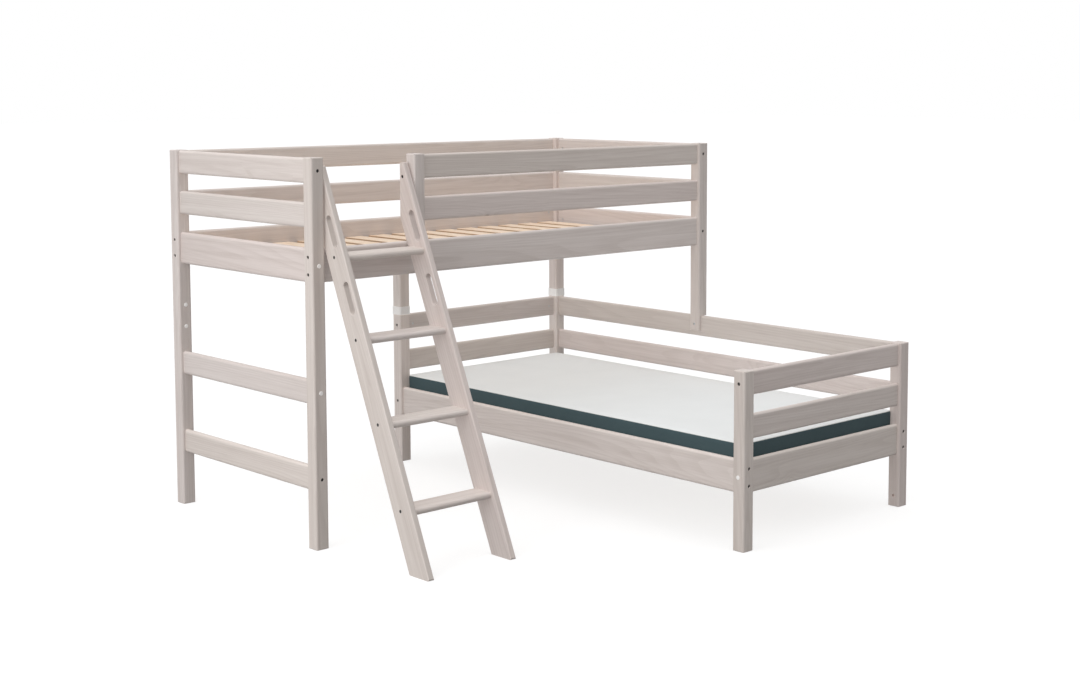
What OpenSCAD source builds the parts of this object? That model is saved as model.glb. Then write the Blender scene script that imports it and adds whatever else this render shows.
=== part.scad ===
// L-shaped bunk bed: a raised bed along X whose right end stands on a lower bed that runs
// forwards along Y. Millimetres, +Z up, the floor at Z = 0 and the origin below the middle of
// the whole bed. Both beds are built alike: square corner posts, boards that hold the slats,
// and rounded rails above them. A leaning ladder is bolted into the raised bed's entry gap.

/* [Beds] */
// Length of the raised bed over its posts
upper_len = 2100; // [1900:5:2200]
// Width of the raised bed over its posts
upper_w = 1000; // [900:5:1100]
// Length of the lower bed over its posts
lower_len = 2100; // [1900:5:2200]
// Width of the lower bed over its posts
lower_w = 1000; // [900:5:1100]
// Height of the lower bed's posts
lower_h = 667; // [640:1:720]
// How much higher the raised bed lies than the lower one
raise = 770; // [740:1:850]

/* [Posts] */
// Side of a square post
post_w = 55; // [50:1:64]
// Radius of a post's long edges
post_round = 8; // [4:0.5:9]
// Radius of the edges round a post's two ends
post_end_round = 4; // [2:0.5:6]
// Width of the post beside the ladder
guard_w = 51; // [48:1:60]
// Length of the tongue by which the front right post laps the lower bed's rail
lap_len = 67; // [60:1:72]

/* [Rails and boards] */
// Thickness of rails and boards
rail_t = 24; // [20:1:28]
// How far rails and boards lie behind the posts' outer faces
rail_set = 13; // [10:0.5:14]
// Radius of the long edges of rails and boards
rail_round = 10; // [4:0.5:10]
// Height of a rail
rail_h = 92; // [80:1:100]
// Height of the boards that carry the slats
board_h = 126; // [116:1:140]
// From the floor to the bottom of a lower board
board_z = 212; // [190:1:230]
// From the top of a post down to the top of the top rail
top_drop = 2; // [0:0.5:6]
// Free height between the top rail and the middle rail
rail_gap = 70; // [60:1:78]
// From the floor to the bottom of the lower leg rail
leg_rail_low_z = 214; // [190:1:240]
// From the floor to the bottom of the upper leg rail
leg_rail_high_z = 534; // [480:1:560]

/* [Slats] */
// Slats in each bed
slat_count = 16; // [12:1:18]
// Width of a slat
slat_w = 84; // [60:1:90]
// Thickness of a slat
slat_t = 18; // [14:1:22]
// From the top of a board down to the top of the slats
slat_drop = 73; // [66:1:80]
// Thickness of the ledger that carries the slats
ledger_t = 20; // [18:1:30]
// Height of the ledger
ledger_h = 30; // [24:1:32]

/* [Mattress] */
// Gap between the mattress and the boards at each side and end
mattress_gap = 13; // [6:1:60]
// Height of the mattress at its edge
mattress_h = 125; // [100:1:160]
// How much the top of the mattress swells over its edge
mattress_crown = 4; // [0:0.5:12]
// Radius of the mattress's upright corners
mattress_corner = 16; // [14:1:60]

/* [Ladder] */
// Width of a stile's top, which sets how far the ladder leans
stile_tip = 18.3; // [12:0.1:30]
// Depth of a stile across its length
stile_w = 104; // [90:1:110]
// Thickness of a stile
stile_t = 25; // [20:1:30]
// Radius of a stile's long edges
stile_round = 5; // [2:0.5:8]
// From the post's top down to the stile's top
stile_drop = 32; // [20:1:60]
// From the post's outer face back to the stile's upright back edge
stile_back = 50; // [40:1:55]
// Clear width of the ladder between its stiles
ladder_clear = 347; // [300:1:400]
// Gap beside each stile, filled by the spacer on its bolt
spacer_t = 6; // [3:0.5:10]
// Gap between the stiles and the board they lean towards
ladder_gap = 1.2; // [0.5:0.1:3]
// From the floor to the middle of the first tread
first_tread_z = 217; // [190:1:250]
// From the top of the board down to the middle of the top tread
top_tread_drop = 30; // [20:1:45]
// Thickness of a tread
tread_t = 25; // [20:1:30]
// Level depth of a tread
tread_d = 92; // [80:1:98]
// From the stile's middle line level to the tread's back edge
tread_back = 50; // [44:1:52]
// Width of a grip slot
grip_w = 30; // [26:1:36]
// Length of a grip slot
grip_len = 122; // [100:1:140]
// From the stile's middle line to the middle of the grip slot
grip_offset = 18; // [10:1:20]

/* [Joints] */
// Diameter of a frame bolt's shank
bolt_d = 6; // [5:0.5:8]
// Diameter of a frame bolt's head
head_d = 13; // [10:0.5:14]
// Depth at which a frame bolt's head sits in the post
sink_depth = 9; // [8:0.5:14]
// From the end of a rail to its barrel nut
nut_inset = 30; // [24:1:40]
// Diameter of a dowel
dowel_d = 8; // [6:0.5:10]
// Depth of a dowel in each of the two pieces
dowel_reach = 19; // [14:1:20]
// Height of the plastic collar between stacked posts
collar_h = 36; // [24:1:50]
// Wall of the collar
collar_wall = 2.7; // [2:0.1:4]
// Diameter of the stud through the collar
stud_d = 8; // [6:0.5:10]
// Length of the stud in each of the two posts
stud_reach = 34; // [24:1:36]

/* [Clearances] */
// Free play on each side of a bolt or stud in wood
bore_play = 0.4; // [0.2:0.1:0.6]
// Free play on each side of a dowel, nut or screw
snug_play = 0.15; // [0.05:0.05:0.3]
// Free play on each side of a post in its collar
collar_play = 0.3; // [0.2:0.1:0.5]
// Gap between the mattress and the slats below it
soft_gap = 0.3; // [0.2:0.1:1]
// Gap between a post's tongue and the slats
lap_gap = 5; // [3:0.5:8]
// Free play at each end of a slat or ledger
slat_play = 2; // [1:0.5:4]

/* [Hidden] */
$fn = 48;
eps = 1;

// Colours of the finished pieces
wash = [0.80, 0.76, 0.73];
pine = [0.90, 0.78, 0.62];
steel = [0.62, 0.63, 0.65];
plastic = [0.90, 0.90, 0.90];
foam = [0.86, 0.88, 0.87];

// Small hardware that has no size of its own to set
head_h = 6;
hex_key = bolt_d - 1;
hex_depth = head_h / 2;
head_play = 0.3;
sink_d = head_d + 2 * head_play;
thread_wall = 2;
nut_d = bolt_d + 2 * thread_wall;
nut_len = 14;
bolt_past_nut = 8;
cap_rim = 1.5;
cap_d = head_d + 2 * cap_rim;
cap_h = 1.4;
cap_stem = sink_depth - head_h - head_play;
insert_d = bolt_d + 2 * thread_wall;
insert_len = 14;
lap_sink = 8;
screw_d = 4;
screw_head_d = 8;
screw_head_h = 3.2;
slat_screw_len = 40;
ledger_screw_len = 32;
ledger_screw_count = 6;
ladder_screw_len = 60;
ladder_screw_head_d = 12;
ladder_bolt_reach = 22;
ladder_bolt_sink = 9;
ladder_dowel_len = 30;
ladder_dowel_in_stile = 12;
spacer_d = 20;
slat_round = 3;
tread_round = 4;
grip_edge = 2;
foot_round = 6;
tip_round = 8;
tread_count = 4;

// Places of the small hardware
bolt_in = 4;
board_bolt_off = 32;
board_dowel_edge = 26;
rail_dowel_edge = 18;
lap_bolt_low = 4;
spare_hole_low = 60;
spare_hole_pitch = 87;
foot_hole_z = 43;
foot_hole_depth = 16;
ladder_bolt_edge = 14;
ladder_bolt_drop = 54;
screw_behind = 7;
tread_dowel_front = 22;
tread_dowel_behind = 32;
grip_low = 170;
grip_high = 62;

// Heights of the lower bed, and the same parts of the raised bed lie higher by raise
board_top = board_z + board_h;
top_rail_z = lower_h - top_drop - rail_h;
mid_rail_z = top_rail_z - rail_gap - rail_h;
slat_z = board_top - slat_drop;
upper_h = lower_h + raise;
upper_board_top = board_top + raise;
inner_face = rail_set + rail_t;
rail_mid_y = rail_set + rail_t / 2;
collar_out = collar_play + collar_wall;
collar_seat = lower_h + collar_wall;

// Footprint of each bed as [left, front, length along X, length along Y]
left_x = -(upper_len + collar_out) / 2;
back_y = (lower_len - collar_out) / 2;
right_x = left_x + upper_len;
UPPER = [left_x, back_y - upper_w, upper_len, upper_w];
LOWER = [right_x - lower_w, back_y - lower_len, lower_w, lower_len];

// Sides of a bed, counted from its front to the left as seen from inside
FRONT = 0;
RIGHT = 1;
REAR = 2;
LEFT = 3;

// Fields of a rail
BED = 0;
SIDE = 1;
FROM = 2;
Z = 3;
TALL = 4;
BOLTS = 5;
DOWELS = 6;
CAPPED = 7;

// Heights of the fasteners about the middle of a rail's end
board_bolts = [-board_bolt_off, board_bolt_off];
one_bolt = [0];
board_dowel = [0];
end_dowels = [board_dowel_edge - board_h / 2, board_h / 2 - board_dowel_edge];
rail_dowels_z = [rail_dowel_edge - rail_h / 2, rail_h / 2 - rail_dowel_edge];

function side_len(bed, side) = bed[2 + side % 2];
function rail(bed, side, z, tall, bolts, dowels, capped = false, from = post_w) =
    [bed, side, from, z, tall, bolts, dowels, capped];
function board(bed, side, lift) = rail(bed, side, board_z + lift, board_h, board_bolts, board_dowel);
function end_board(bed, side, lift, capped) =
    rail(bed, side, board_z + lift, board_h, one_bolt, end_dowels, capped);
function bolted_rail(bed, side, z, capped = false) =
    rail(bed, side, z, rail_h, one_bolt, rail_dowels_z, capped);
function plain_rail(bed, side, z, from = post_w) =
    rail(bed, side, z, rail_h, [], rail_dowels_z, false, from);

// Entry gap of the raised bed, with a stile and its spacer at each side
stile_left_x = post_w + spacer_t;
stile_right_x = stile_left_x + stile_t + ladder_clear;
guard_x = stile_right_x + stile_t + spacer_t;

// Every rail and board, from the raised bed's front round to the lower bed's near side
R_FRONT_BOARD = board(UPPER, FRONT, raise);
R_GUARD_TOP = plain_rail(UPPER, FRONT, top_rail_z + raise, guard_x + guard_w);
R_GUARD_MID = plain_rail(UPPER, FRONT, mid_rail_z + raise, guard_x + guard_w);
R_RIGHT_BOARD = end_board(UPPER, RIGHT, raise, false);
R_RIGHT_TOP = bolted_rail(UPPER, RIGHT, top_rail_z + raise);
R_RIGHT_MID = plain_rail(UPPER, RIGHT, mid_rail_z + raise);
R_REAR_BOARD = board(UPPER, REAR, raise);
R_REAR_TOP = plain_rail(UPPER, REAR, top_rail_z + raise);
R_REAR_MID = plain_rail(UPPER, REAR, mid_rail_z + raise);
R_LEFT_BOARD = end_board(UPPER, LEFT, raise, true);
R_LEFT_TOP = bolted_rail(UPPER, LEFT, top_rail_z + raise);
R_LEFT_MID = plain_rail(UPPER, LEFT, mid_rail_z + raise);
R_LEG_HIGH = bolted_rail(UPPER, LEFT, leg_rail_high_z, true);
R_LEG_LOW = bolted_rail(UPPER, LEFT, leg_rail_low_z);
R_FOOT_BOARD = end_board(LOWER, FRONT, 0, true);
R_FOOT_TOP = bolted_rail(LOWER, FRONT, top_rail_z);
R_FOOT_MID = plain_rail(LOWER, FRONT, mid_rail_z);
R_FAR_BOARD = board(LOWER, RIGHT, 0);
R_FAR_TOP = plain_rail(LOWER, RIGHT, top_rail_z);
R_FAR_MID = plain_rail(LOWER, RIGHT, mid_rail_z);
R_HEAD_BOARD = end_board(LOWER, REAR, 0, false);
R_HEAD_TOP = bolted_rail(LOWER, REAR, top_rail_z);
R_HEAD_MID = plain_rail(LOWER, REAR, mid_rail_z);
R_NEAR_BOARD = board(LOWER, LEFT, 0);

UPPER_FRONT = [R_FRONT_BOARD, R_GUARD_TOP, R_GUARD_MID];
UPPER_RIGHT = [R_RIGHT_BOARD, R_RIGHT_TOP, R_RIGHT_MID];
UPPER_REAR = [R_REAR_BOARD, R_REAR_TOP, R_REAR_MID];
UPPER_LEFT = [R_LEFT_BOARD, R_LEFT_TOP, R_LEFT_MID, R_LEG_HIGH, R_LEG_LOW];
LOWER_FOOT = [R_FOOT_BOARD, R_FOOT_TOP, R_FOOT_MID];
LOWER_FAR = [R_FAR_BOARD, R_FAR_TOP, R_FAR_MID];
LOWER_HEAD = [R_HEAD_BOARD, R_HEAD_TOP, R_HEAD_MID];
LOWER_NEAR = [R_NEAR_BOARD];
RAILS = concat(
    UPPER_FRONT, UPPER_RIGHT, UPPER_REAR, UPPER_LEFT, LOWER_FOOT, LOWER_FAR, LOWER_HEAD, LOWER_NEAR
);

// Tongues of the guard post and the support post, which end short of the slats
guard_lap_len = slat_drop - lap_gap;
support_lap_len = slat_z - slat_t - board_z - lap_gap;

// Laps, where a tongue is bolted to a rail: [side of the raised bed, place along it, bolt height]
LAPS = [
    [RIGHT, post_w / 2, top_rail_z + rail_h - lap_len / 2 - lap_bolt_low],
    [FRONT, guard_x + guard_w / 2, upper_board_top - guard_lap_len / 2 - lap_bolt_low],
    [REAR, lower_w - post_w / 2, board_z + raise + support_lap_len / 2]
];

// Spare holes of the rear left post, closed by caps
SPARE_HOLES_Z = [lower_h + spare_hole_low, lower_h + spare_hole_low + spare_hole_pitch];

// ---- frames of reference ----

// Origin at the outer corner where a side begins, X along the side and Y into the bed
module on_side(bed, side) {
    corners = [[0, 0], [bed[2], 0], [bed[2], bed[3]], [0, bed[3]]];
    translate([bed[0] + corners[side][0], bed[1] + corners[side][1], 0])
        rotate([0, 0, 90 * side])
            children();
}

// Origin in the middle of a rail's end face, X out of the rail and Y into the bed
module at_rail_end(r, last) {
    along = last ? side_len(r[BED], r[SIDE]) - post_w : r[FROM];
    on_side(r[BED], r[SIDE])
        translate([along, rail_mid_y, r[Z] + r[TALL] / 2])
            mirror([last ? 0 : 1, 0, 0])
                children();
}

// Origin on the inner face of the lapped rail, Y into the bed
module at_lap(lap) {
    on_side(UPPER, lap[0])
        translate([lap[1], inner_face, lap[2]])
            children();
}

// Origin at the middle of the top of each lower post that carries a post
module at_stacks() {
    for (side = [REAR, LEFT])
        on_side(LOWER, side)
            translate([post_w / 2, post_w / 2, lower_h])
                children();
}

// ---- shapes that repeat ----

module rod_x(d, length) {
    rotate([0, 90, 0])
        cylinder(d = d, h = length);
}

module rod_y(d, length) {
    rotate([-90, 0, 0])
        cylinder(d = d, h = length);
}

module round_rect(w, h, r) {
    translate([r, 0])
        square([w - 2 * r, h]);
    translate([0, r])
        square([w, h - 2 * r]);
    for (x = [r, w - r], y = [r, h - r])
        translate([x, y])
            circle(r);
}

// Upright bar with rounded long edges, and smaller rounds at its ends
module post_bar(w, d, h) {
    intersection() {
        linear_extrude(h)
            round_rect(w, d, post_round);
        translate([0, d + eps, 0])
            rotate([90, 0, 0])
                linear_extrude(d + 2 * eps)
                    round_rect(w, h, post_end_round);
        translate([-eps, 0, 0])
            rotate([90, 0, 90])
                linear_extrude(w + 2 * eps)
                    round_rect(d, h, post_end_round);
    }
}

// Level bar along X with rounded long edges
module level_bar(length, t, h, r) {
    rotate([90, 0, 90])
        linear_extrude(length)
            round_rect(t, h, r);
}

// Bolt along X, its head's outer face at X = 0 and its shank towards -X
module socket_bolt(length) {
    difference() {
        translate([-head_h, 0, 0])
            rod_x(head_d, head_h);
        translate([-hex_depth, 0, 0])
            rotate([0, 90, 0])
                cylinder(d = hex_key / cos(30), h = hex_depth + eps, $fn = 6);
    }
    translate([-head_h - length, 0, 0])
        rod_x(bolt_d, length);
}

// Wood screw along X, its flat head's face at X = 0 and its shank towards -X
module wood_screw(length, head = screw_head_d) {
    translate([-screw_head_h, 0, 0])
        rotate([0, 90, 0])
            cylinder(d1 = screw_d, d2 = head, h = screw_head_h);
    translate([-length, 0, 0])
        rod_x(screw_d, length - screw_head_h);
}

module wood_screw_cut(length, head = screw_head_d) {
    play = 2 * snug_play;
    translate([-screw_head_h, 0, 0])
        rotate([0, 90, 0])
            cylinder(d1 = screw_d + play, d2 = head + play, h = screw_head_h);
    rod_x(head + play, eps);
    translate([-length - snug_play, 0, 0])
        rod_x(screw_d + play, length - screw_head_h + snug_play);
}

module cap() {
    translate([-cap_stem, 0, 0])
        rod_x(head_d, cap_stem);
    rod_x(cap_d, cap_h / 2);
    translate([cap_h / 2, 0, 0])
        rotate([0, 90, 0])
            cylinder(d1 = cap_d, d2 = cap_d - cap_h, h = cap_h / 2);
}

// ---- what is cut for the fasteners at one end of a rail, in the post and in the rail ----

module frame_bolt_cut() {
    translate([post_w - sink_depth, 0, 0])
        rod_x(sink_d, sink_depth + eps);
    translate([-nut_inset - bolt_past_nut - eps, 0, 0])
        rod_x(bolt_d + 2 * bore_play, post_w + nut_inset + bolt_past_nut);
    translate([-nut_inset, -nut_len / 2 - snug_play, 0])
        rod_y(nut_d + 2 * snug_play, rail_t);
}

module dowel_cut() {
    reach = dowel_reach + snug_play;
    translate([-reach, 0, 0])
        rod_x(dowel_d + 2 * snug_play, 2 * reach);
}

module rail_end_cuts(r, last) {
    at_rail_end(r, last) {
        if (last || r[FROM] == post_w)
            for (z = r[BOLTS])
                translate([0, bolt_in, z])
                    frame_bolt_cut();
        for (z = r[DOWELS])
            translate([0, 0, z])
                dowel_cut();
    }
}

module post_cuts(corner, rails) {
    for (r = rails)
        rail_end_cuts(r, r[SIDE] != corner);
}

module lap_cut(lap) {
    at_lap(lap) {
        translate([0, post_w - inner_face - lap_sink, 0])
            rod_y(sink_d, lap_sink + eps);
        translate([0, -insert_len - snug_play, 0])
            rod_y(bolt_d + 2 * bore_play, post_w);
        translate([0, -insert_len - snug_play, 0])
            rod_y(insert_d + 2 * snug_play, insert_len + snug_play);
    }
}

module stud_cut() {
    reach = stud_reach + snug_play;
    at_stacks()
        translate([0, 0, -reach])
            cylinder(d = stud_d + 2 * bore_play, h = 2 * reach + collar_wall);
}

// ---- posts ----

module corner_post(bed, corner, foot, top, rails) {
    color(wash)
        difference() {
            on_side(bed, corner)
                translate([0, 0, foot])
                    post_bar(post_w, post_w, top - foot);
            post_cuts(corner, rails);
            if (bed == LOWER)
                foot_hole_cuts();
        }
}

// Blind holes low in the inner faces of the lower bed's posts, for the stops of a drawer
module foot_hole_cuts() {
    on_side(LOWER, FRONT)
        for (x = [post_w - foot_hole_depth, lower_w - post_w - eps], y = [post_w / 2, lower_len - post_w / 2])
            translate([x, y, foot_hole_z])
                rod_x(sink_d, foot_hole_depth + eps);
}

module post_rear_left() {
    difference() {
        corner_post(UPPER, LEFT, 0, upper_h, concat(UPPER_REAR, UPPER_LEFT));
        for (z = SPARE_HOLES_Z)
            at_spare_hole(z)
                translate([-sink_depth, 0, 0])
                    rod_x(sink_d, sink_depth + eps);
    }
}

// Origin on the front face of the rear left post, X out of it
module at_spare_hole(z) {
    on_side(UPPER, LEFT)
        translate([post_w, rail_mid_y + bolt_in, z])
            children();
}

// The guard rails end at the guard post, so this post holds only the board of the front side
module post_front_left() {
    difference() {
        corner_post(UPPER, FRONT, 0, upper_h, concat(UPPER_LEFT, [R_FRONT_BOARD]));
        ladder_bolt_cut(stile_left_x, true);
    }
}

module post_rear_right() {
    difference() {
        corner_post(UPPER, REAR, collar_seat, upper_h, concat(UPPER_RIGHT, UPPER_REAR));
        stud_cut();
    }
}

// Its foot stands on the lower bed's top rail, and its tongue laps the rail's inner face
module post_front_right() {
    foot = top_rail_z + rail_h - lap_len;
    color(wash)
        difference() {
            on_side(UPPER, RIGHT)
                difference() {
                    translate([0, 0, foot])
                        post_bar(post_w, post_w, upper_h - foot);
                    translate([-eps, -eps, foot - eps])
                        cube([post_w + 2 * eps, inner_face + eps, lap_len + eps]);
                }
            post_cuts(RIGHT, concat(UPPER_FRONT, UPPER_RIGHT));
            lap_cut(LAPS[0]);
        }
}

// It stands on the front board beside the ladder, and its tongue laps the board's inner face
module guard_post() {
    foot = upper_board_top - guard_lap_len;
    color(wash)
        difference() {
            on_side(UPPER, FRONT)
                difference() {
                    translate([guard_x, 0, foot])
                        post_bar(guard_w, post_w, upper_h - foot);
                    translate([guard_x - eps, -eps, foot - eps])
                        cube([guard_w + 2 * eps, inner_face + eps, guard_lap_len + eps]);
                }
            post_cuts(FRONT, [R_GUARD_TOP, R_GUARD_MID]);
            lap_cut(LAPS[1]);
            ladder_bolt_cut(stile_right_x, false);
        }
}

// It stands on the lower bed's near head post and carries the raised bed's rear board
module post_support() {
    seat = board_z + raise;
    start = lower_w - post_w;
    color(wash)
        difference() {
            on_side(UPPER, REAR)
                difference() {
                    translate([start, 0, collar_seat])
                        post_bar(post_w, post_w, seat + support_lap_len - collar_seat);
                    translate([start - eps, -eps, seat])
                        cube([post_w + 2 * eps, inner_face + eps, support_lap_len + eps]);
                }
            lap_cut(LAPS[2]);
            stud_cut();
        }
}

module lower_post_foot_near() {
    corner_post(LOWER, FRONT, 0, lower_h, concat(LOWER_NEAR, LOWER_FOOT));
}

module lower_post_foot_far() {
    corner_post(LOWER, RIGHT, 0, lower_h, concat(LOWER_FOOT, LOWER_FAR));
}

module lower_post_head_far() {
    difference() {
        corner_post(LOWER, REAR, 0, lower_h, concat(LOWER_FAR, LOWER_HEAD));
        stud_cut();
    }
}

module lower_post_head_near() {
    difference() {
        corner_post(LOWER, LEFT, 0, lower_h, concat(LOWER_HEAD, LOWER_NEAR));
        stud_cut();
    }
}

// ---- rails and boards ----

module rail_piece(r) {
    color(wash)
        difference() {
            on_side(r[BED], r[SIDE])
                translate([r[FROM], rail_set, r[Z]])
                    level_bar(side_len(r[BED], r[SIDE]) - post_w - r[FROM], rail_t, r[TALL], rail_round);
            rail_end_cuts(r, false);
            rail_end_cuts(r, true);
        }
}

module board_piece(r, laps = []) {
    difference() {
        rail_piece(r);
        for (lap = laps)
            lap_cut(lap);
        if (r[SIDE] % 2 == slat_side(r[BED]))
            ledger_screw_places(r[BED], r[SIDE])
                wood_screw_cut(ledger_screw_len);
    }
}

module front_side_board() board_piece(R_FRONT_BOARD, [LAPS[1]]);
module guard_top_rail() rail_piece(R_GUARD_TOP);
module guard_mid_rail() rail_piece(R_GUARD_MID);
module rear_side_board() board_piece(R_REAR_BOARD, [LAPS[2]]);
module rear_top_rail() rail_piece(R_REAR_TOP);
module rear_mid_rail() rail_piece(R_REAR_MID);
module left_end_board() board_piece(R_LEFT_BOARD);
module left_end_top_rail() rail_piece(R_LEFT_TOP);
module left_end_mid_rail() rail_piece(R_LEFT_MID);
module left_leg_rail_high() rail_piece(R_LEG_HIGH);
module left_leg_rail_low() rail_piece(R_LEG_LOW);
module right_end_board() board_piece(R_RIGHT_BOARD);
module right_end_top_rail() rail_piece(R_RIGHT_TOP);
module right_end_mid_rail() rail_piece(R_RIGHT_MID);
module foot_board() board_piece(R_FOOT_BOARD);
module foot_top_rail() rail_piece(R_FOOT_TOP);
module foot_mid_rail() rail_piece(R_FOOT_MID);
module head_board() board_piece(R_HEAD_BOARD);
module head_top_rail() rail_piece(R_HEAD_TOP);
module head_mid_rail() rail_piece(R_HEAD_MID);
module far_side_board() board_piece(R_FAR_BOARD);
module far_mid_rail() rail_piece(R_FAR_MID);
module near_side_board() board_piece(R_NEAR_BOARD);

module far_top_rail() {
    difference() {
        rail_piece(R_FAR_TOP);
        lap_cut(LAPS[0]);
    }
}

// ---- slats and the ledgers that carry them ----

// The first of the two opposite sides that carry a bed's slats
function slat_side(bed) = bed[2] > bed[3] ? FRONT : RIGHT;
function bed_lift(bed) = bed == UPPER ? raise : 0;
function slat_span(bed) = side_len(bed, slat_side(bed)) - 2 * inner_face;
function slat_space(bed) = (slat_span(bed) - slat_count * slat_w) / (slat_count + 1);
function slat_start(bed, i) = inner_face + slat_space(bed) + i * (slat_w + slat_space(bed));
function slat_across(bed) = side_len(bed, slat_side(bed) + 1) - 2 * (inner_face + slat_play);

// The support post's tongue interrupts the raised bed's rear ledger, which takes no screw there
lap_start = lower_w - post_w - slat_play;
lap_width = post_w + 2 * slat_play;
function beside_lap(bed, side, x) = bed != UPPER || side != REAR
    || x < lap_start - screw_head_d || x > lap_start + lap_width + screw_head_d;

// Origin on the top of a slat, over the middle of the ledger, X up
module slat_screw_places(bed, side) {
    for (i = [0 : slat_count - 1]) {
        x = slat_start(bed, i) + slat_w / 2;
        if (beside_lap(bed, side, x))
            on_side(bed, side)
                translate([x, inner_face + ledger_t / 2, slat_z + bed_lift(bed)])
                    rotate([0, -90, 0])
                        children();
    }
}

// Origin on the ledger's inner face, between two slats, X into the bed
module ledger_screw_places(bed, side) {
    for (k = [0 : ledger_screw_count - 1]) {
        i = round(k * (slat_count - 2) / (ledger_screw_count - 1));
        x = slat_start(bed, i) + slat_w + slat_space(bed) / 2;
        if (beside_lap(bed, side, x))
            on_side(bed, side)
                translate([x, inner_face + ledger_t, slat_z - slat_t - ledger_h / 2 + bed_lift(bed)])
                    rotate([0, 0, 90])
                        children();
    }
}

module ledgers(bed) {
    for (side = [slat_side(bed), slat_side(bed) + 2])
        difference() {
            on_side(bed, side)
                translate([post_w + slat_play, inner_face, slat_z - slat_t - ledger_h + bed_lift(bed)])
                    cube([side_len(bed, side) - 2 * (post_w + slat_play), ledger_t, ledger_h]);
            slat_screw_places(bed, side)
                wood_screw_cut(slat_screw_len);
            ledger_screw_places(bed, side)
                wood_screw_cut(ledger_screw_len);
        }
}

module slats(bed) {
    color(pine)
        difference() {
            on_side(bed, slat_side(bed))
                for (i = [0 : slat_count - 1])
                    translate([
                        slat_start(bed, i) + slat_w,
                        inner_face + slat_play,
                        slat_z - slat_t + bed_lift(bed)
                    ])
                        rotate([0, 0, 90])
                            level_bar(slat_across(bed), slat_w, slat_t, slat_round);
            for (side = [slat_side(bed), slat_side(bed) + 2])
                slat_screw_places(bed, side)
                    wood_screw_cut(slat_screw_len);
        }
}

// The support post's tongue passes through the raised bed's rear ledger
module upper_ledgers() {
    color(wash)
        difference() {
            ledgers(UPPER);
            on_side(UPPER, REAR)
                translate([lap_start, inner_face - eps, board_z + raise - eps])
                    cube([lap_width, ledger_t + 2 * eps, board_h]);
        }
}

module lower_ledgers() {
    color(wash)
        ledgers(LOWER);
}

module upper_slats() slats(UPPER);
module lower_slats() slats(LOWER);

// ---- mattress ----

// Rounding of the mattress's edges, and how much its long sides are drawn in at mid height
mattress_edge = 9;
mattress_waist = 5;
mattress_w = lower_w - 2 * (inner_face + mattress_gap);
mattress_len = lower_len - 2 * (inner_face + mattress_gap);

function unit(v) = v / norm(v);

// Ring of points round the mattress, drawn in from its full outline and further at mid side
function mattress_ring(inset, waist, z) = [
    for (side = [0 : 3])
        let (
            half = [mattress_w / 2 - inset, mattress_len / 2 - inset],
            r = max(mattress_corner - inset, mattress_edge),
            sign_x = (side == 0 || side == 3) ? 1 : -1,
            sign_y = side < 2 ? 1 : -1,
            core = [sign_x * (half[0] - r), sign_y * (half[1] - r)],
            next_x = (side + 1 == 4 || side + 1 == 3) ? 1 : -1,
            next_y = (side + 1) % 4 < 2 ? 1 : -1,
            next = [next_x * (half[0] - r), next_y * (half[1] - r)],
            out = [cos(90 * side + 90), sin(90 * side + 90)]
        )
        for (p = concat(
            [for (a = [0 : 18 : 90]) core + r * [cos(90 * side + a), sin(90 * side + a)]],
            [for (t = [1 : 7]) core + (next - core) * t / 8 + out * (r - waist * sin(180 * t / 8))]
        ))
            [p[0], p[1], z]
];

module mattress() {
    top = mattress_h;
    edge = mattress_edge;
    waist = mattress_waist;
    rings = [
        mattress_ring(edge * 0.7, 0, 0),
        mattress_ring(edge * 0.1, waist * 0.2, edge * 0.3),
        mattress_ring(0, waist * 0.4, edge),
        mattress_ring(edge * 0.1, waist * 0.8, top * 0.3),
        mattress_ring(edge * 0.15, waist, top * 0.55),
        mattress_ring(edge * 0.1, waist * 0.8, top * 0.8),
        mattress_ring(0, waist * 0.4, top - edge * 0.8),
        mattress_ring(edge * 0.3, waist * 0.2, top - edge * 0.2),
        mattress_ring(edge, 0, top),
        mattress_ring(mattress_w * 0.07, 0, top + mattress_crown * 0.6),
        mattress_ring(mattress_w * 0.19, 0, top + mattress_crown * 0.9),
        mattress_ring(mattress_w * 0.33, 0, top + mattress_crown)
    ];
    n = len(rings[0]);
    last = len(rings) - 1;
    under = (last + 1) * n;
    points = concat(
        [for (ring = rings, p = ring) p],
        [[0, 0, 0], [0, 0, top + mattress_crown]]
    );
    walls = [
        for (k = [0 : last - 1], i = [0 : n - 1])
            let (a = k * n + i, b = k * n + (i + 1) % n)
            for (tri = [[a, a + n, b + n], [a, b + n, b]])
                tri
    ];
    bottom = [for (i = [0 : n - 1]) [under, i, (i + 1) % n]];
    cover = [for (i = [0 : n - 1]) [under + 1, last * n + (i + 1) % n, last * n + i]];
    color(foam)
        translate([
            LOWER[0] + lower_w / 2,
            LOWER[1] + lower_len / 2,
            slat_z + soft_gap
        ])
            polyhedron(points, concat(walls, bottom, cover));
}

// ---- collars and studs between stacked posts ----

module post_collars() {
    size = post_w + 2 * collar_out;
    hollow = post_w + 2 * collar_play;
    color(plastic)
        at_stacks()
            difference() {
                translate([-size / 2, -size / 2, 0])
                    linear_extrude(collar_h)
                        round_rect(size, size, post_round + collar_out);
                translate([-hollow / 2, -hollow / 2, collar_wall])
                    linear_extrude(collar_h)
                        round_rect(hollow, hollow, post_round);
                translate([0, 0, -eps])
                    cylinder(d = stud_d + 2 * bore_play, h = collar_wall + 2 * eps);
            }
}

module collar_studs() {
    color(steel)
        at_stacks()
            translate([0, 0, -stud_reach])
                cylinder(d = stud_d, h = 2 * stud_reach + collar_wall);
}

// ---- ladder ----

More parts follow.
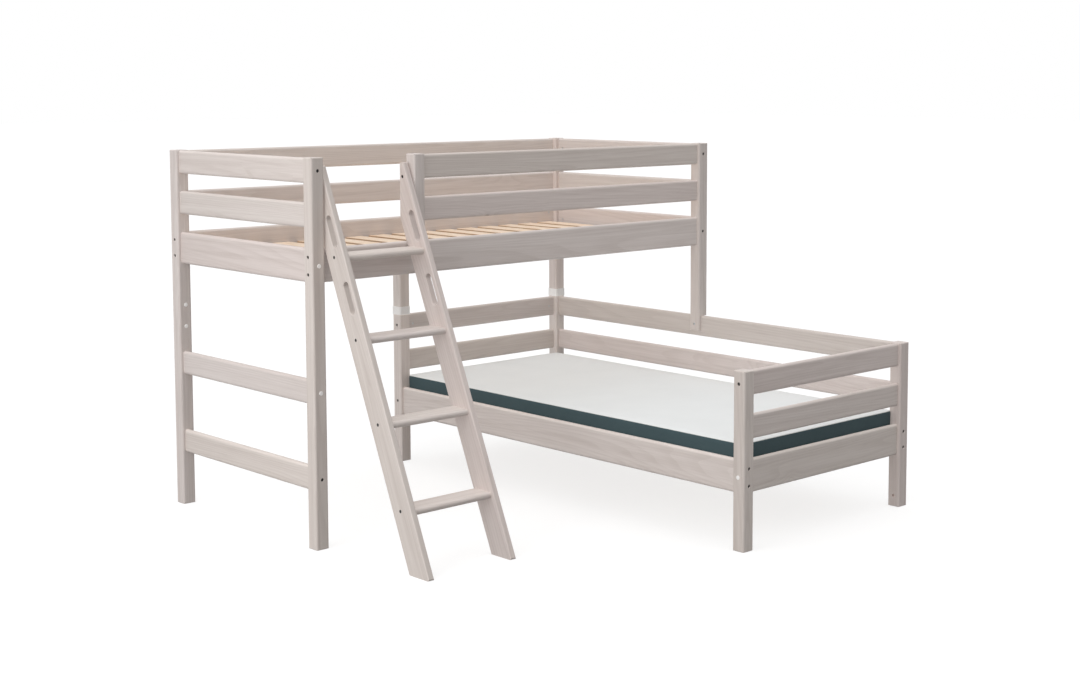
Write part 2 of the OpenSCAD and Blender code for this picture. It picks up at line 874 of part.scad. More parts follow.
// Middle of the board's rounded top edge, which the stiles lean towards
edge_y = rail_set + rail_round;
edge_z = upper_board_top - rail_round;
stile_top = upper_h - stile_drop;
top_tread_z = upper_board_top - top_tread_drop;
tread_pitch = (top_tread_z - first_tread_z) / (tread_count - 1);
line_out = rail_round + ladder_gap + stile_w / 2;

// Lean at which the front edge, a stile's width off the board, ends stile_tip before its back
tip_out = stile_back - stile_tip - edge_y;
tip_up = stile_top - edge_z;
lean = atan2(tip_out, tip_up) + asin((line_out + stile_w / 2) / norm([tip_out, tip_up]));

// Level place of the stile's middle line at height z, moved back by off square to the line
function ladder_y(z, off = 0) = edge_y + ((z - edge_z) * sin(lean) - line_out + off) / cos(lean);
// Height at which the stile's back edge reaches its upright cut
function back_z() = edge_z + ((stile_back - edge_y) * cos(lean) + line_out - stile_w / 2) / sin(lean);
function tread_z(k) = first_tread_z + (k - 1) * tread_pitch;

// Middles of the grip slots along the stile, by their height
grip_z = [upper_board_top - grip_low, upper_board_top + grip_high];
ladder_bolt_y = stile_back - ladder_bolt_edge;
ladder_bolt_z = stile_top - ladder_bolt_drop;

// Arc of radius r that rounds the corner b between the points a and c
function corner_arc(a, b, c, r) =
    let (
        u = unit(a - b),
        v = unit(c - b),
        half = acos(u * v) / 2,
        middle = b + unit(u + v) * r / sin(half),
        from = b + u * r / tan(half) - middle,
        to = b + v * r / tan(half) - middle
    )
    [for (i = [0 : 6]) middle + r * unit(from * (6 - i) + to * i)];

module on_ladder() {
    translate([UPPER[0], UPPER[1], 0])
        children();
}

// Side outline of a stile in its Y and Z
module stile_outline() {
    foot_front = [ladder_y(0, -stile_w / 2), 0];
    foot_back = [ladder_y(0, stile_w / 2), 0];
    bend = [stile_back, back_z()];
    tip_back = [stile_back, stile_top];
    tip_front = [ladder_y(stile_top, -stile_w / 2), stile_top];
    polygon(concat(
        corner_arc(tip_front, foot_front, foot_back, foot_round),
        corner_arc(foot_front, foot_back, bend, foot_round),
        [bend],
        corner_arc(bend, tip_back, tip_front, foot_round),
        corner_arc(tip_back, tip_front, foot_front, tip_round)
    ));
}

// Slot along Z through a plate that lies between X = 0 and X = t, with chamfered rims
module grip_slot(t) {
    straight = grip_len - grip_w;
    r = grip_w / 2;
    for (end = [-1, 1])
        translate([-eps, 0, end * straight / 2])
            rod_x(grip_w, t + 2 * eps);
    translate([-eps, -r, -straight / 2])
        cube([t + 2 * eps, grip_w, straight]);
    for (face = [0, 1])
        translate([face * t, 0, 0])
            mirror([face, 0, 0]) {
                for (end = [-1, 1])
                    translate([0, 0, end * straight / 2])
                        rotate([0, 90, 0])
                            cylinder(r1 = r + grip_edge, r2 = r, h = grip_edge);
                translate([0, 0, -straight / 2])
                    linear_extrude(straight)
                        polygon([[0, -r - grip_edge], [grip_edge, -r], [grip_edge, r], [0, r + grip_edge]]);
            }
}

module stile(x, head_right) {
    color(wash)
        difference() {
            on_ladder()
                difference() {
                    intersection() {
                        translate([x, 0, 0])
                            rotate([90, 0, 90])
                                linear_extrude(stile_t)
                                    stile_outline();
                        translate([x, ladder_y(0), 0])
                            rotate([-lean, 0, 0])
                                translate([0, -stile_w / 2, -stile_w])
                                    linear_extrude(upper_h / cos(lean) + 2 * stile_w)
                                        round_rect(stile_t, stile_w, stile_round);
                    }
                    for (z = grip_z)
                        translate([x, ladder_y(z, -grip_offset), z])
                            rotate([-lean, 0, 0])
                                grip_slot(stile_t);
                }
            ladder_bolt_cut(x, head_right);
            for (k = [1 : tread_count])
                tread_cuts(k);
        }
}

module tread(k) {
    r = tread_t / 2;
    color(wash)
        difference() {
            on_ladder()
                translate([
                    stile_left_x + stile_t,
                    ladder_y(tread_z(k)) + tread_back - tread_d,
                    tread_z(k) - r
                ])
                    rotate([90, 0, 90])
                        linear_extrude(ladder_clear) {
                            translate([r, r])
                                circle(r);
                            translate([r, 0])
                                square([tread_d - r - tread_round, tread_t]);
                            translate([tread_d - 2 * tread_round, tread_round])
                                square([2 * tread_round, tread_t - 2 * tread_round]);
                            for (y = [tread_round, tread_t - tread_round])
                                translate([tread_d - tread_round, y])
                                    circle(tread_round);
                        }
            tread_cuts(k);
        }
}

// Origin on each stile's outer face at the middle of a tread, X out of the ladder
module at_tread_ends(k) {
    for (side = [0, 1])
        on_ladder()
            translate([
                side == 0 ? stile_left_x : stile_right_x + stile_t,
                ladder_y(tread_z(k)),
                tread_z(k)
            ])
                mirror([side == 0 ? 1 : 0, 0, 0])
                    children();
}

module tread_cuts(k) {
    at_tread_ends(k) {
        translate([0, screw_behind, 0])
            wood_screw_cut(ladder_screw_len, ladder_screw_head_d);
        for (y = [-tread_dowel_front, tread_dowel_behind])
            translate([-stile_t - ladder_dowel_len + ladder_dowel_in_stile - snug_play, y, 0])
                rod_x(dowel_d + 2 * snug_play, ladder_dowel_len + 2 * snug_play);
    }
}

// Origin on the face of the stile at the bolt's head, X out of the stile
module at_ladder_bolt(x, head_right) {
    on_ladder()
        translate([head_right ? x + stile_t : x, ladder_bolt_y, ladder_bolt_z])
            mirror([head_right ? 0 : 1, 0, 0])
                children();
}

module ladder_bolt_cut(x, head_right) {
    reach = stile_t + spacer_t + ladder_bolt_reach;
    at_ladder_bolt(x, head_right) {
        translate([-ladder_bolt_sink, 0, 0])
            rod_x(sink_d, ladder_bolt_sink + eps);
        translate([-reach - snug_play, 0, 0])
            rod_x(bolt_d + 2 * snug_play, reach + snug_play);
    }
}

module ladder_stile_left() stile(stile_left_x, true);
module ladder_stile_right() stile(stile_right_x, false);
module ladder_tread_1() tread(1);
module ladder_tread_2() tread(2);
module ladder_tread_3() tread(3);
module ladder_tread_4() tread(4);

module ladder_bolt(x, head_right) {
    sunk = ladder_bolt_sink - head_h;
    at_ladder_bolt(x, head_right)
        translate([-sunk, 0, 0])
            socket_bolt(stile_t + spacer_t + ladder_bolt_reach - ladder_bolt_sink);
}

module ladder_bolts() {
    color(steel) {
        ladder_bolt(stile_left_x, true);
        ladder_bolt(stile_right_x, false);
    }
}

module ladder_spacers() {
    color(plastic)
        on_ladder()
            for (x = [post_w, guard_x - spacer_t])
                translate([x, ladder_bolt_y, ladder_bolt_z])
                    difference() {
                        rod_x(spacer_d, spacer_t);
                        translate([-eps, 0, 0])
                            rod_x(bolt_d + 2 * bore_play, spacer_t + 2 * eps);
                    }
}

module ladder_screws() {
    color(steel)
        for (k = [1 : tread_count])
            at_tread_ends(k)
                translate([0, screw_behind, 0])
                    wood_screw(ladder_screw_len, ladder_screw_head_d);
}

module ladder_dowels() {
    color(pine)
        for (k = [1 : tread_count])
            at_tread_ends(k)
                for (y = [-tread_dowel_front, tread_dowel_behind])
                    translate([-stile_t - ladder_dowel_len + ladder_dowel_in_stile, y, 0])
                        rod_x(dowel_d, ladder_dowel_len);
}

// ---- fasteners of the frame ----

// Draws its children at every frame bolt, with the origin in the rail's end face
module at_frame_bolts() {
    for (r = RAILS, last = [false, true])
        if (last || r[FROM] == post_w)
            at_rail_end(r, last)
                for (z = r[BOLTS])
                    translate([0, bolt_in, z])
                        children();
}

module frame_bolts() {
    seat = post_w - sink_depth;
    color(steel)
        at_frame_bolts()
            translate([seat + head_h, 0, 0])
                socket_bolt(seat + nut_inset + bolt_past_nut);
}

module barrel_nuts() {
    color(steel)
        at_frame_bolts()
            translate([-nut_inset, -nut_len / 2, 0])
                difference() {
                    rod_y(nut_d, nut_len);
                    translate([-nut_d, nut_len / 2, 0])
                        rod_x(bolt_d + 2 * snug_play, 2 * nut_d);
                }
}

module bolt_caps() {
    color(plastic) {
        for (r = RAILS, last = [false, true])
            if (r[CAPPED])
                at_rail_end(r, last)
                    for (z = r[BOLTS])
                        translate([post_w, bolt_in, z])
                            cap();
        for (z = SPARE_HOLES_Z)
            at_spare_hole(z)
                cap();
    }
}

module lap_bolts() {
    seat = post_w - inner_face - lap_sink;
    color(steel)
        for (lap = LAPS)
            at_lap(lap)
                translate([0, seat + head_h, 0])
                    rotate([0, 0, 90])
                        socket_bolt(seat + insert_len);
}

module lap_inserts() {
    color(steel)
        for (lap = LAPS)
            at_lap(lap)
                translate([0, -insert_len, 0])
                    difference() {
                        rod_y(insert_d, insert_len);
                        translate([0, -eps, 0])
                            rod_y(bolt_d + 2 * snug_play, insert_len + 2 * eps);
                    }
}

module rail_dowels() {
    color(pine)
        for (r = RAILS, last = [false, true])
            at_rail_end(r, last)
                for (z = r[DOWELS])
                    translate([-dowel_reach, 0, z])
                        rod_x(dowel_d, 2 * dowel_reach);
}

module slat_screws() {
    color(steel)
        for (bed = [UPPER, LOWER], turn = [0, 2])
            slat_screw_places(bed, slat_side(bed) + turn)
                wood_screw(slat_screw_len);
}

module ledger_screws() {
    color(steel)
        for (bed = [UPPER, LOWER], turn = [0, 2])
            ledger_screw_places(bed, slat_side(bed) + turn)
                wood_screw(ledger_screw_len);
}

post_rear_left();
post_front_left();
post_rear_right();
post_front_right();
post_support();
guard_post();
lower_post_foot_near();
lower_post_foot_far();
lower_post_head_near();
lower_post_head_far();
front_side_board();
guard_top_rail();
guard_mid_rail();
rear_side_board();
rear_top_rail();
rear_mid_rail();
left_end_board();
left_end_top_rail();
left_end_mid_rail();
left_leg_rail_high();
left_leg_rail_low();
right_end_board();
right_end_top_rail();
right_end_mid_rail();
foot_board();
foot_top_rail();
foot_mid_rail();
head_board();
head_top_rail();
head_mid_rail();
far_side_board();
far_top_rail();
far_mid_rail();
near_side_board();
upper_ledgers();
lower_ledgers();
upper_slats();
lower_slats();
mattress();
post_collars();
collar_studs();
ladder_stile_left();
ladder_stile_right();
ladder_tread_1();
ladder_tread_2();
ladder_tread_3();
ladder_tread_4();
ladder_bolts();
ladder_spacers();
ladder_screws();
ladder_dowels();
frame_bolts();
barrel_nuts();
bolt_caps();
lap_bolts();
lap_inserts();
rail_dowels();
slat_screws();
ledger_screws();
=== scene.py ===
import math

import bmesh
import bpy
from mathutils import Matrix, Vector, noise


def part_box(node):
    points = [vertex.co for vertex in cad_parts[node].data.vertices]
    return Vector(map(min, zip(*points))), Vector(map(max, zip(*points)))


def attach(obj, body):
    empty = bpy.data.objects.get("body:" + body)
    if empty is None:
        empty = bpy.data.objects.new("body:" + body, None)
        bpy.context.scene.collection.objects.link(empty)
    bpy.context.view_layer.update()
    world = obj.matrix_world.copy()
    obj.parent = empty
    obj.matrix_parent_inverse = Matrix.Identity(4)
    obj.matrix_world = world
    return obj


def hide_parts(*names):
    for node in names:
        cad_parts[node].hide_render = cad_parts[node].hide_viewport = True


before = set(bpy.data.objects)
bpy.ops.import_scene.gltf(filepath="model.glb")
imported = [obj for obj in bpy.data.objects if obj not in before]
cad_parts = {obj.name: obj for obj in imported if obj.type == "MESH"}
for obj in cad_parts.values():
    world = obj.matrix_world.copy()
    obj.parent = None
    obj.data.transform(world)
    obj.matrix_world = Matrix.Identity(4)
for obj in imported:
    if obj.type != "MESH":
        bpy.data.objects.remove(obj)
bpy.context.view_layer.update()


# ---- posts ----
# Square pine posts, washed with a thin grey stain and lacquered to a dull sheen. Two reach
# from floor to top, four carry the lower bed, three stand on those four or on a rail of
# theirs, and a short one beside the ladder stands on the front board.

def put(tree, kind, sockets=None, **settings):
    """Adds a shader node, makes its settings, then fills or links its sockets."""
    node = tree.nodes.new("ShaderNode" + kind)
    for name, value in settings.items():
        setattr(node, name, value)
    for name, value in (sockets or {}).items():
        if isinstance(value, bpy.types.NodeSocket):
            tree.links.new(value, node.inputs[name])
        else:
            node.inputs[name].default_value = value
    return node


def calc(tree, operation, a, b=0.0, c=0.0):
    """One step of arithmetic between numbers or sockets."""
    return put(tree, "Math", {0: a, 1: b, 2: c}, operation=operation).outputs[0]


def vector_calc(tree, operation, a, b=(0.0, 0.0, 0.0)):
    """One step of arithmetic between vectors."""
    return put(tree, "VectorMath", {0: a, 1: b}, operation=operation)


def soft_step(tree, value, low, high):
    """0 up to low, 1 from high, and a smooth rise between them; low may be the greater."""
    return put(
        tree, "MapRange", {0: value, 1: low, 2: high}, interpolation_type="SMOOTHSTEP"
    ).outputs[0]


def mix_colors(tree, share, a, b):
    """Colour a, turning into b as share goes from 0 to 1."""
    return put(tree, "Mix", {0: share, 6: a, 7: b}, data_type="RGBA").outputs[2]


def cloudy(tree, vector, scale, detail=2.0):
    """Cloudy noise between 0 and 1, its cells set by a scale along each axis."""
    spread = vector_calc(tree, "MULTIPLY", vector, scale).outputs[0]
    return put(
        tree, "TexNoise", {"Vector": spread, "Scale": 1.0, "Detail": detail, "Roughness": 0.55}
    ).outputs[0]


def new_group(name, ins, outs):
    """An empty shader group with its inputs and its outputs as the sockets to link."""
    tree = bpy.data.node_groups.new(name, "ShaderNodeTree")
    for label, kind in ins.items():
        tree.interface.new_socket(label, in_out="INPUT", socket_type="NodeSocket" + kind)
    for label, kind in outs.items():
        tree.interface.new_socket(label, in_out="OUTPUT", socket_type="NodeSocket" + kind)
    given = tree.nodes.new("NodeGroupInput").outputs
    result = tree.nodes.new("NodeGroupOutput").inputs
    return tree, given, result


# Flat-sawn pine, with X along the grain: wavy growth rings that bend round a few small
# knots, long streaks where the stain gathers, and fine fibres. Cells and waves are counted
# per metre along the three axes.
KNOT_CELLS = (1.5, 8.0, 8.0)
KNOTLESS_SHARE = 0.86
KNOT_SLIMNESS = 0.62
SMALLEST_KNOT = 0.005
KNOT_EDGE = (1.05, 0.75)
KNOT_TONE = 0.5
KNOT_HOLLOW = 0.5
RING_PUSH = 0.12
RING_PUSH_FADE = 60.0
RING_WAVES = (0.3, 5.5, 5.5)
RINGS_PER_WAVE = 36.0
RING_DARKENS = (0.3, 0.88)
RING_ENDS = (1.0, 0.94)
RING_HOLLOW = 0.35
STREAK_CELLS = (1.1, 46.0, 46.0)
STREAK_EDGE = (0.36, 0.72)
FIBRE_CELLS = (9.0, 380.0, 380.0)
FIBRE_EDGE = (0.35, 0.72)
FIBRE_TONE = 0.7
FIBRE_HOLLOW = 0.45
GRAIN_DEPTH = 0.0006
PALE_ROUGHNESS = 0.46
DARK_ROUGHER = 0.14
pine_grain, given, result = new_group(
    "pine_grain",
    {"Along": "Vector", "Light": "Color", "Dark": "Color", "Knot": "Color",
     "Rings": "Float", "Streaks": "Float"},
    {"Color": "Color", "Roughness": "Float", "Height": "Float"},
)
along = given["Along"]
knot_round = (KNOT_SLIMNESS / KNOT_CELLS[0], 1 / KNOT_CELLS[1], 1 / KNOT_CELLS[2])
knot_space = vector_calc(pine_grain, "MULTIPLY", along, KNOT_CELLS).outputs[0]
knot_cell = put(pine_grain, "TexVoronoi", {"Vector": knot_space, "Scale": 1.0}).outputs
knot_off = vector_calc(pine_grain, "SUBTRACT", knot_space, knot_cell["Position"]).outputs[0]
knot_off = vector_calc(pine_grain, "MULTIPLY", knot_off, knot_round).outputs[0]
knot_far = vector_calc(pine_grain, "LENGTH", knot_off).outputs["Value"]
knot_dice = put(pine_grain, "SeparateColor", {0: knot_cell["Color"]}).outputs
knot_here = calc(pine_grain, "GREATER_THAN", knot_dice[0], KNOTLESS_SHARE)
knot_radius = calc(pine_grain, "MULTIPLY_ADD", knot_dice[1], SMALLEST_KNOT, SMALLEST_KNOT)
knot_share = calc(pine_grain, "DIVIDE", knot_far, knot_radius)
knot = calc(pine_grain, "MULTIPLY", knot_here, soft_step(pine_grain, knot_share, *KNOT_EDGE))
knot_push = calc(
    pine_grain, "DIVIDE", calc(pine_grain, "MULTIPLY", knot_here, RING_PUSH),
    calc(pine_grain, "MULTIPLY_ADD", knot_far, RING_PUSH_FADE, 1.0),
)
ring_field = calc(pine_grain, "ADD", cloudy(pine_grain, along, RING_WAVES, 1.2), knot_push)
ring_phase = calc(
    pine_grain, "FRACT", calc(pine_grain, "MULTIPLY", ring_field, RINGS_PER_WAVE)
)
ring = calc(
    pine_grain, "MULTIPLY", soft_step(pine_grain, ring_phase, *RING_DARKENS),
    soft_step(pine_grain, ring_phase, *RING_ENDS),
)
streak = soft_step(pine_grain, cloudy(pine_grain, along, STREAK_CELLS, 3.0), *STREAK_EDGE)
fibre = soft_step(pine_grain, cloudy(pine_grain, along, FIBRE_CELLS), *FIBRE_EDGE)
dark = calc(pine_grain, "MULTIPLY", ring, given["Rings"])
dark = calc(pine_grain, "MULTIPLY_ADD", streak, given["Streaks"], dark)
fibre_tone = calc(pine_grain, "MULTIPLY", given["Streaks"], FIBRE_TONE)
dark = calc(pine_grain, "MULTIPLY_ADD", fibre, fibre_tone, dark)
dark = calc(pine_grain, "MINIMUM", dark, 1.0)
wood = mix_colors(pine_grain, dark, given["Light"], given["Dark"])
wood = mix_colors(
    pine_grain, calc(pine_grain, "MULTIPLY", knot, KNOT_TONE), wood, given["Knot"]
)
roughness = calc(pine_grain, "MULTIPLY_ADD", dark, DARK_ROUGHER, PALE_ROUGHNESS)
height = calc(pine_grain, "MULTIPLY", ring, -RING_HOLLOW)
height = calc(pine_grain, "MULTIPLY_ADD", fibre, -FIBRE_HOLLOW, height)
height = calc(pine_grain, "MULTIPLY_ADD", knot, -KNOT_HOLLOW, height)
pine_grain.links.new(wood, result["Color"])
pine_grain.links.new(roughness, result["Roughness"])
pine_grain.links.new(height, result["Height"])

# Turns that lay the grain along an axis
ALONG_X = (0.0, 0.0, 0.0)
ALONG_Y = (0.0, 0.0, -math.pi / 2)
ALONG_Z = (0.0, math.pi / 2, 0.0)

WASH_LIGHT = (0.700, 0.639, 0.604)
WASH_DARK = (0.565, 0.502, 0.467)
WASH_KNOT = (0.330, 0.255, 0.205)
# No two planks take the stain quite alike: some dry pinker, some greyer, some yellower
PLANK_TINTS = (
    (1.0, 1.0, 1.0), (1.012, 0.985, 0.99), (0.985, 0.98, 0.99), (1.01, 1.0, 1.0),
    (1.0, 0.992, 0.98),
)
TINT_STEP = 7
LOG_STEP = (0.37, 0.211, -0.163)


def plain_material(name, look):
    """A material with one Principled shader, whose sockets look(tree) gives."""
    material = bpy.data.materials.new(name)
    material.use_nodes = True
    tree = material.node_tree
    tree.nodes.clear()
    skin = put(tree, "BsdfPrincipled", look(tree))
    put(tree, "OutputMaterial", {"Surface": skin.outputs[0]})
    return material


def object_place(tree):
    """Where a point lies on its object."""
    return put(tree, "TexCoord").outputs["Object"]


def relief(tree, height, strength, depth):
    """A surface that rises by a depth where the height goes from 0 to 1."""
    bump = put(tree, "Bump", {"Height": height, "Strength": strength, "Distance": depth})
    return bump.outputs[0]


def wood_material(name, vector_of, colors, rings, streaks, bump, edge_shade_of=None):
    """Pine in a light, a dark and a knot colour, its grain on vector_of's coordinates."""
    def look(tree):
        light, dark, knot_color = [(*color, 1) for color in colors]
        grain = put(
            tree, "Group",
            {"Along": vector_of(tree), "Light": light, "Dark": dark, "Knot": knot_color,
             "Rings": rings, "Streaks": streaks},
            node_tree=pine_grain,
        ).outputs
        return {
            "Base Color": edge_shade_of(tree, grain["Color"]) if edge_shade_of else grain["Color"],
            "Roughness": grain["Roughness"],
            "Normal": relief(tree, grain["Height"], bump, GRAIN_DEPTH),
            "Specular IOR Level": 0.35,
        }

    return plain_material(name, look)


def washed_pine(plank, turn, tone_and_painted_light=1.0):
    """Grey-washed pine for one plank, cut from a place of its own in the log.

    A tone over 1 lifts the whole plank's colour and one under 1 lowers it, as chosen
    by measure against the picture, plank by plank. It is partly the stain that each plank
    took and partly painted light and shade: planks that lie in shade are made darker, and
    planks that the light reaches are made paler.
    """
    tint = [tone_and_painted_light * part for part in PLANK_TINTS[plank * TINT_STEP % len(PLANK_TINTS)]]
    place = [step * plank for step in LOG_STEP]

    def vector_of(tree):
        return put(
            tree, "Mapping", {"Vector": object_place(tree), "Rotation": turn, "Location": place}
        ).outputs[0]

    light = [a * b for a, b in zip(WASH_LIGHT, tint)]
    dark = [a * b for a, b in zip(WASH_DARK, tint)]
    return wood_material(
        f"washed_pine_{plank}", vector_of, (light, dark, WASH_KNOT),
        rings=0.26, streaks=0.40, bump=0.35,
    )


def dress(node, material):
    """Gives a CAD node its finished material."""
    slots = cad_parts[node].data.materials
    slots.clear()
    slots.append(material)


planks = 0
# Each post's tone is partly the stain it took and partly painted light and shade: posts in shade
# are made darker, and posts that the light reaches are made paler.
for node, tone_and_painted_light in {
    "post_rear_left": 1.0, "post_front_left": 0.95, "post_rear_right": 1.03,
    "post_front_right": 0.94, "post_support": 1.08, "guard_post": 1.0,
    "lower_post_foot_near": 0.97, "lower_post_foot_far": 0.94, "lower_post_head_near": 1.08,
    "lower_post_head_far": 1.03,
}.items():
    planks += 1
    dress(node, washed_pine(planks, ALONG_Z, tone_and_painted_light))


# ---- rails and boards ----
# Planed planks with well-rounded edges, of the same washed pine. Each bed has two long
# sides and two ends, and the tall boards along the sides carry the slats.

# In both tables below, each plank's tone is partly the stain it took and partly painted light and
# shade: planks in shade are made darker, and planks the light reaches paler.
for node, tone_and_painted_light in {
    "front_side_board": 1.05, "guard_top_rail": 1.01, "guard_mid_rail": 1.01,
    "rear_side_board": 1.06, "rear_top_rail": 1.08, "rear_mid_rail": 1.07,
    "foot_board": 0.96, "foot_top_rail": 0.98, "foot_mid_rail": 0.97,
    "head_board": 0.98, "head_top_rail": 0.95, "head_mid_rail": 0.92,
}.items():
    planks += 1
    dress(node, washed_pine(planks, ALONG_X, tone_and_painted_light))
for node, tone_and_painted_light in {
    "left_end_board": 0.96, "left_end_top_rail": 0.99, "left_end_mid_rail": 0.98,
    "left_leg_rail_high": 0.98, "left_leg_rail_low": 0.98, "right_end_board": 0.98,
    "right_end_top_rail": 1.0, "right_end_mid_rail": 1.0, "far_side_board": 0.96,
    "far_top_rail": 0.88, "far_mid_rail": 0.91, "near_side_board": 1.04,
}.items():
    planks += 1
    dress(node, washed_pine(planks, ALONG_Y, tone_and_painted_light))


# ---- ledgers and slats ----
# Sawn strips screwed inside the boards carry the slats, which are thin boards of raw pine,
# warm and pale. Their side faces are painted darker and browner as the shade in the gaps
# between them, partly also the sawn wood's own deeper tone. Every slat comes from another
# part of the log.

planks += 1
dress("upper_ledgers", washed_pine(planks, ALONG_X))
planks += 1
dress("lower_ledgers", washed_pine(planks, ALONG_Y))

RAW_LIGHT = (0.88, 0.735, 0.59)
RAW_DARK = (0.74, 0.54, 0.38)
RAW_KNOT = (0.34, 0.165, 0.075)
# Brown painted onto the slats' side faces: painted shade of the gaps between the slats, partly the
# sawn wood's own deeper tone
RAW_EDGE_SHADE = (0.40, 0.235, 0.13)
SLAT_WIDTH = 0.084
SLATS = 16
SLAT_JUMP = (7.0, 3.0, 3.0)
EDGE_TURN = (0.6, 0.85)
EDGE_SHADE = 0.8


def raw_pine(node, row_axis, turn):
    """Raw pine for a row of slats, each from a place of its own in the log."""
    low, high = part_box(node)
    pitch = (high[row_axis] - low[row_axis] - SLAT_WIDTH) / (SLATS - 1)
    start = low[row_axis] - (pitch - SLAT_WIDTH) / 2

    def vector_of(tree):
        at = object_place(tree)
        across = put(tree, "SeparateXYZ", {0: at}).outputs[row_axis]
        slat = calc(
            tree, "FLOOR", calc(tree, "DIVIDE", calc(tree, "SUBTRACT", across, start), pitch)
        )
        dice = put(tree, "TexWhiteNoise", {"W": slat}, noise_dimensions="1D").outputs["Color"]
        jump = vector_calc(tree, "MULTIPLY", dice, SLAT_JUMP).outputs[0]
        turned = put(tree, "Mapping", {"Vector": at, "Rotation": turn}).outputs[0]
        return vector_calc(tree, "ADD", turned, jump).outputs[0]

    # Darkens the faces that look across the row into the gaps: painted shade of the gaps, partly
    # the sawn wood's own deeper tone
    def shaded_slat_sides(tree, color):
        facing = put(tree, "SeparateXYZ", {0: put(tree, "TexCoord").outputs["Normal"]}).outputs
        edge = soft_step(tree, calc(tree, "ABSOLUTE", facing[row_axis]), *EDGE_TURN)
        return mix_colors(tree, calc(tree, "MULTIPLY", edge, EDGE_SHADE), color, (*RAW_EDGE_SHADE, 1))

    return wood_material(
        f"raw_pine_{node}", vector_of, (RAW_LIGHT, RAW_DARK, RAW_KNOT),
        rings=0.5, streaks=0.3, bump=0.3, edge_shade_of=shaded_slat_sides,
    )


dress("upper_slats", raw_pine("upper_slats", 0, ALONG_Y))
dress("lower_slats", raw_pine("lower_slats", 1, ALONG_X))


# ---- ladder ----
# Two leaning stiles with two grip slots each, and four treads with a full-round front
# edge, all of washed pine. The stiles' grain follows their lean.

lowest_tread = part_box("ladder_tread_1")[0]
top_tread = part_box("ladder_tread_4")[0]
LEAN = math.atan2(top_tread.y - lowest_tread.y, top_tread.z - lowest_tread.z)
ALONG_STILE = (LEAN, math.pi / 2, 0.0)
# The stiles' tones are partly stain and partly painted shade, darker where they lie in shade.
for node, tone_and_painted_light in (("ladder_stile_left", 0.93), ("ladder_stile_right", 0.97)):
    planks += 1
    dress(node, washed_pine(planks, ALONG_STILE, tone_and_painted_light))
for node in ("ladder_tread_1", "ladder_tread_2", "ladder_tread_3", "ladder_tread_4"):
    planks += 1
    dress(node, washed_pine(planks, ALONG_X))


# ---- collars ----
# Sleeves of frosted clear plastic that hold the feet of the stacked posts. The moulding
# leaves a faint cloudiness and a slightly uneven gloss.

FROST_DULL = (0.93, 0.915, 0.90, 1)
FROST_CLEAR = (0.98, 0.97, 0.96, 1)


def frosted(tree):
    """Clear plastic with a frosted skin."""
    cloud = cloudy(tree, object_place(tree), (60.0, 60.0, 25.0))
    return {
        "Base Color": mix_colors(tree, cloud, FROST_DULL, FROST_CLEAR),
        "Roughness": calc(tree, "MULTIPLY_ADD", cloud, 0.15, 0.25),
        "Transmission Weight": 0.22,
        "IOR": 1.49,
    }


dress("post_collars", plain_material("frosted_plastic", frosted))


# ---- caps and spacers ----
# White moulded caps close the spare holes and some of the bolt holes, and a plastic
# spacer keeps each stile off its post. Fine moulding grain breaks up their gloss.

CLEAN_WHITE = (0.96, 0.945, 0.93, 1)
SOILED_WHITE = (0.91, 0.89, 0.87, 1)


def white_moulding(tree):
    """Glossy white plastic, a little soiled."""
    grain = cloudy(tree, object_place(tree), (900.0, 900.0, 900.0))
    soil = cloudy(tree, object_place(tree), (70.0, 70.0, 70.0))
    return {
        "Base Color": mix_colors(tree, soil, CLEAN_WHITE, SOILED_WHITE),
        "Roughness": calc(tree, "MULTIPLY_ADD", grain, 0.12, 0.24),
        "Specular IOR Level": 1.0,
        "Coat Weight": 0.6,
        "Normal": relief(tree, grain, 0.1, 0.0002),
    }


white_plastic = plain_material("white_plastic", white_moulding)
dress("bolt_caps", white_plastic)
dress("ladder_spacers", white_plastic)


# ---- bolts, nuts, screws and dowels ----
# Bolts and ladder screws, whose heads show in their holes, are blackened steel. The
# other steel parts are zinc plated, and the dowels are turned beech.

BLACKED = (0.018, 0.018, 0.020, 1)
WORN_BLACK = (0.060, 0.056, 0.053, 1)
DULL_ZINC = (0.52, 0.53, 0.55, 1)
BRIGHT_ZINC = (0.66, 0.66, 0.65, 1)
BEECH_FLECK = (0.62, 0.42, 0.26, 1)
BEECH_PALE = (0.74, 0.55, 0.37, 1)


def blackened(tree):
    """Blackened steel, worn paler in places."""
    wear = cloudy(tree, object_place(tree), (260.0, 260.0, 260.0), 3.0)
    return {
        "Base Color": mix_colors(tree, wear, BLACKED, WORN_BLACK),
        "Metallic": 0.3,
        "Roughness": calc(tree, "MULTIPLY_ADD", wear, 0.25, 0.45),
        "Specular IOR Level": 0.3,
    }


def zinc_plated(tree):
    """Zinc plate with a fine spangle."""
    spangle = cloudy(tree, object_place(tree), (420.0, 420.0, 420.0), 3.0)
    return {
        "Base Color": mix_colors(tree, spangle, DULL_ZINC, BRIGHT_ZINC),
        "Metallic": 1.0,
        "Roughness": calc(tree, "MULTIPLY_ADD", spangle, 0.22, 0.28),
    }


def beech(tree):
    """Turned beech with fine flecks."""
    fleck = cloudy(tree, object_place(tree), (500.0, 500.0, 500.0), 3.0)
    return {
        "Base Color": mix_colors(tree, fleck, BEECH_FLECK, BEECH_PALE),
        "Roughness": 0.65,
        "Normal": relief(tree, fleck, 0.3, 0.0003),
    }


black_steel = plain_material("blackened_steel", blackened)
zinc_steel = plain_material("zinc_plated_steel", zinc_plated)
turned_beech = plain_material("turned_beech", beech)
for node in ("frame_bolts", "ladder_bolts", "ladder_screws"):
    dress(node, black_steel)
for node in ("lap_bolts", "barrel_nuts", "lap_inserts", "collar_studs", "slat_screws",
             "ledger_screws"):
    dress(node, zinc_steel)
for node in ("rail_dowels", "ladder_dowels"):
    dress(node, turned_beech)


